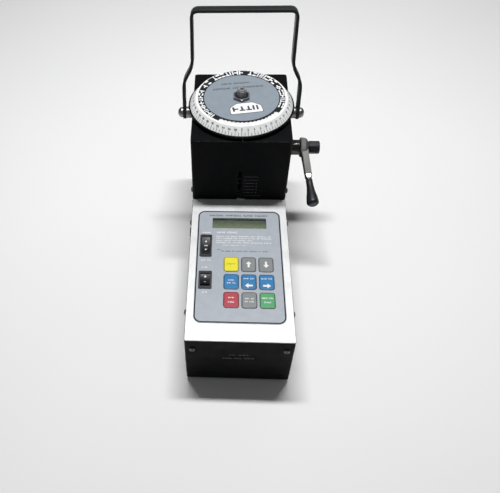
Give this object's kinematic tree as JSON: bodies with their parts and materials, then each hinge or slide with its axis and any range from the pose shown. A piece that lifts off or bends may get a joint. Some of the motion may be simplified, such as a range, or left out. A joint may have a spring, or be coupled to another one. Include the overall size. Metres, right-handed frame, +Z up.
{
  "type": "grain moisture meter",
  "caption": "Bench-top grain moisture meter: console with display, keys and rocker switches, and a screw press tower with a turning dial, crank, sample cup and carrying handle.",
  "frame": {"origin": "middle of the whole outline in x and y, on the plane under the feet", "axes": "+X to the right of a person who faces the keys, +Y from the console to the tower, +Z up"},
  "size_m": [0.184, 0.3492, 0.3022],
  "materials": {
    "black_paint": "satin black stove enamel",
    "grey_paint": "satin light grey",
    "silver_panel": "satin anodised",
    "label_film": "matt printed film",
    "display_glass": "clear",
    "circuit_board": "green solder resist",
    "rubber": "matt",
    "black_plastic": "fine grain",
    "bright_metal": "polished",
    "cast_iron": "painted casting",
    "insulator": "machined",
    "bronze": "machined",
    "steel": "machined, satin",
    "plated_aluminium": "turned",
    "handle_paint": "satin dark grey",
    "dial_white": "satin, printed",
    "dial_plate": "satin, printed",
    "key_yellow": "embossed film",
    "key_grey": "embossed film",
    "key_blue": "embossed film",
    "key_red": "embossed film",
    "key_green": "embossed film"
  },
  "bodies": {
    "chassis": {"base_tray": "black_paint", "console_cover": "black_paint", "tower_cover": "black_paint", "top_panel": "silver_panel", "overlay_label": "label_film", "display_window": "display_glass", "display_module": "circuit_board", "main_board": "circuit_board", "keypad_board": "circuit_board", "foot_front_left": "rubber", "foot_front_right": "rubber", "foot_rear_left": "rubber", "foot_rear_right": "rubber", "mode_switch_body": "black_plastic", "power_switch_body": "black_plastic", "power_jack": "black_plastic", "front_screw_left": "bright_metal", "front_screw_right": "bright_metal", "side_screw_front_left": "bright_metal", "side_screw_front_right": "bright_metal", "side_screw_rear_left": "bright_metal", "side_screw_rear_right": "bright_metal", "tower_screw_left": "bright_metal", "tower_screw_right": "bright_metal", "pivot_bolt_left": "bright_metal", "pivot_bolt_right": "bright_metal", "printer_port": "bright_metal", "press_block": "cast_iron", "press_frame": "cast_iron", "cup_seat": "insulator", "thrust_washer": "bronze", "crank_bush": "steel"},
    "dial": {"drive_nut": "steel", "drive_gear": "steel", "dial_wheel": "dial_white", "dial_plate": "dial_plate", "dial_lock_nut": "steel"},
    "spindle": {"spindle": "steel", "plunger": "plated_aluminium", "pointer_arm": "steel"},
    "crank": {"crank_shaft": "steel", "crank_pinion": "steel", "crank_knob": "black_plastic", "crank_arm": "grey_paint", "crank_grip": "black_plastic"},
    "handle": {"carry_handle": "handle_paint"},
    "cup": {"sample_cup": "plated_aluminium", "cup_insulator": "insulator", "cup_electrode": "bronze"},
    "mode_rocker": {"mode_rocker": "black_plastic"},
    "power_rocker": {"power_rocker": "black_plastic"},
    "key_select": {"key_select": "key_yellow"},
    "key_up": {"key_up": "key_grey"},
    "key_down": {"key_down": "key_grey"},
    "key_mode": {"key_mode": "key_blue"},
    "key_left": {"key_left": "key_blue"},
    "key_right": {"key_right": "key_blue"},
    "key_reset": {"key_reset": "key_red"},
    "key_menu": {"key_menu": "key_grey"},
    "key_enter": {"key_enter": "key_green"}
  },
  "joints": [
    {"name": "dial_turn", "type": "hinge", "parent": "chassis", "child": "dial", "pos_m": [-0.013, 0.10465, 0.19], "axis": [0, 0, 1], "range_deg": [0, 2160]},
    {"name": "spindle_press", "type": "slide", "parent": "chassis", "child": "spindle", "axis": [0, 0, 1], "range_m": [-0.0301, 0]},
    {"name": "crank_turn", "type": "hinge", "parent": "chassis", "child": "crank", "pos_m": [0.071, 0.10465, 0.1235], "axis": [1, 0, 0], "range_deg": [-4321, 0]},
    {"name": "handle_fold", "type": "hinge", "parent": "chassis", "child": "handle", "pos_m": [-0.013, 0.10725, 0.1775], "axis": [1, 0, 0], "range_deg": [-58, 80]},
    {"name": "cup_draw", "type": "slide", "parent": "chassis", "child": "cup", "axis": [-1, 0, 0], "range_m": [0, 0.09]},
    {"name": "mode_rock", "type": "hinge", "parent": "chassis", "child": "mode_rocker", "pos_m": [-0.0532, -0.04135, 0.0915], "axis": [1, 0, 0], "range_deg": [-12, 12]},
    {"name": "power_rock", "type": "hinge", "parent": "chassis", "child": "power_rocker", "pos_m": [-0.0526, -0.09265, 0.0915], "axis": [1, 0, 0], "range_deg": [0, 20]},
    {"name": "key_select_press", "type": "slide", "parent": "chassis", "child": "key_select", "axis": [0, 0, -1], "range_m": [0, 0.0005]},
    {"name": "key_up_press", "type": "slide", "parent": "chassis", "child": "key_up", "axis": [0, 0, -1], "range_m": [0, 0.0005]},
    {"name": "key_down_press", "type": "slide", "parent": "chassis", "child": "key_down", "axis": [0, 0, -1], "range_m": [0, 0.0005]},
    {"name": "key_mode_press", "type": "slide", "parent": "chassis", "child": "key_mode", "axis": [0, 0, -1], "range_m": [0, 0.0005]},
    {"name": "key_left_press", "type": "slide", "parent": "chassis", "child": "key_left", "axis": [0, 0, -1], "range_m": [0, 0.0005]},
    {"name": "key_right_press", "type": "slide", "parent": "chassis", "child": "key_right", "axis": [0, 0, -1], "range_m": [0, 0.0005]},
    {"name": "key_reset_press", "type": "slide", "parent": "chassis", "child": "key_reset", "axis": [0, 0, -1], "range_m": [0, 0.0005]},
    {"name": "key_menu_press", "type": "slide", "parent": "chassis", "child": "key_menu", "axis": [0, 0, -1], "range_m": [0, 0.0005]},
    {"name": "key_enter_press", "type": "slide", "parent": "chassis", "child": "key_enter", "axis": [0, 0, -1], "range_m": [0, 0.0005]}
  ],
  "couplings": [
    {"joint": "spindle_press", "follows": "dial_turn", "m_per_rad": -0.00079577},
    {"joint": "crank_turn", "follows": "dial_turn", "ratio": -2}
  ]
}
